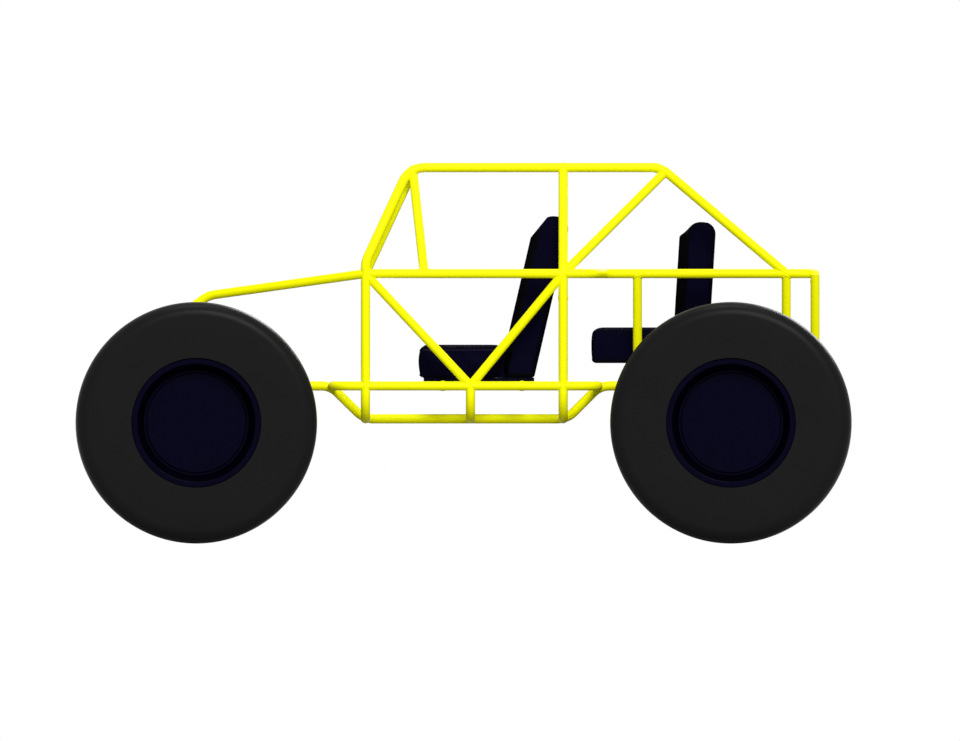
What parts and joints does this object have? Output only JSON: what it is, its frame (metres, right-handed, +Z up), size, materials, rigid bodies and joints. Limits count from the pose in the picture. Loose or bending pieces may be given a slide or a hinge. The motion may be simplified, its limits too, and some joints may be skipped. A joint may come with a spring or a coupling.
{
  "type": "tube-frame dune buggy",
  "caption": "Open long-travel dune buggy: bent tube cage, front and rear seats, steered front wheels and very large smooth tyres on dished wheels.",
  "frame": {"origin": "on the ground under the middle of the buggy, midway between the axles", "axes": "+X to the tail, +Y to the right side, +Z up; the nose is at -X"},
  "size_m": [3.7258, 2.3, 1.8275],
  "materials": {
    "frame_paint": "gloss yellow",
    "seat_cover": "very dark navy",
    "seat_shell": "black",
    "floor_sheet": "brushed sheet",
    "axle_paint": "satin black",
    "spring_steel": "dark steel",
    "cast_case": "cast",
    "shroud_paint": "gloss black",
    "exhaust_steel": "heat-tinted",
    "damper_metal": "satin",
    "forged_steel": "forged",
    "tyre_rubber": "smooth dark grey",
    "wheel_paint": "dark navy"
  },
  "bodies": {
    "chassis": {"main_rail_left": "frame_paint", "main_rail_right": "frame_paint", "side_hoop_left": "frame_paint", "side_hoop_right": "frame_paint", "belt_rail_left": "frame_paint", "belt_rail_right": "frame_paint", "sill_rail_left": "frame_paint", "sill_rail_right": "frame_paint", "hood_tube_left": "frame_paint", "hood_tube_right": "frame_paint", "front_hoop": "frame_paint", "middle_hoop": "frame_paint", "main_hoop": "frame_paint", "cage_braces": "frame_paint", "side_braces": "frame_paint", "rear_posts": "frame_paint", "cross_tubes": "frame_paint", "rear_seat_frame": "frame_paint", "tow_tabs": "frame_paint", "front_cushions": "seat_cover", "front_backs": "seat_cover", "rear_cushion": "seat_cover", "rear_back": "seat_cover", "seat_pans": "seat_shell", "floor_panels": "floor_sheet", "front_axle": "axle_paint", "leaf_springs": "spring_steel", "spring_mounts": "axle_paint", "gearbox": "cast_case", "engine": "cast_case", "fan_shroud": "shroud_paint", "exhaust": "exhaust_steel", "rear_axle": "axle_paint", "trailing_arms": "axle_paint", "dampers": "damper_metal"},
    "knuckle_left": {"knuckle_left": "forged_steel"},
    "knuckle_right": {"knuckle_right": "forged_steel"},
    "tie_rod": {"tie_rod": "forged_steel"},
    "front_left_wheel": {"tyre_front_left": "tyre_rubber", "wheel_front_left": "wheel_paint"},
    "front_right_wheel": {"tyre_front_right": "tyre_rubber", "wheel_front_right": "wheel_paint"},
    "rear_left_wheel": {"tyre_rear_left": "tyre_rubber", "wheel_rear_left": "wheel_paint"},
    "rear_right_wheel": {"tyre_rear_right": "tyre_rubber", "wheel_rear_right": "wheel_paint"}
  },
  "joints": [
    {"name": "steer_left", "type": "hinge", "parent": "chassis", "child": "knuckle_left", "pos_m": [-1.283, -0.76, 0.58], "axis": [0, 0, 1], "range_deg": [-30, 30]},
    {"name": "steer_right", "type": "hinge", "parent": "chassis", "child": "knuckle_right", "pos_m": [-1.283, 0.76, 0.58], "axis": [0, 0, 1], "range_deg": [-30, 30]},
    {"name": "tie_rod_pivot", "type": "hinge", "parent": "knuckle_left", "child": "tie_rod", "pos_m": [-1.118, -0.76, 0.605], "axis": [0, 0, 1], "range_deg": [-30, 30]},
    {"name": "spin_front_left", "type": "hinge", "parent": "knuckle_left", "child": "front_left_wheel", "pos_m": [-1.283, -0.94, 0.58], "axis": [0, 1, 0], "continuous": true},
    {"name": "spin_front_right", "type": "hinge", "parent": "knuckle_right", "child": "front_right_wheel", "pos_m": [-1.283, 0.94, 0.58], "axis": [0, 1, 0], "continuous": true},
    {"name": "spin_rear_left", "type": "hinge", "parent": "chassis", "child": "rear_left_wheel", "pos_m": [1.283, -0.94, 0.58], "axis": [0, 1, 0], "continuous": true},
    {"name": "spin_rear_right", "type": "hinge", "parent": "chassis", "child": "rear_right_wheel", "pos_m": [1.283, 0.94, 0.58], "axis": [0, 1, 0], "continuous": true}
  ],
  "couplings": [
    {"joint": "steer_right", "follows": "steer_left", "ratio": 1},
    {"joint": "tie_rod_pivot", "follows": "steer_left", "ratio": -1}
  ]
}
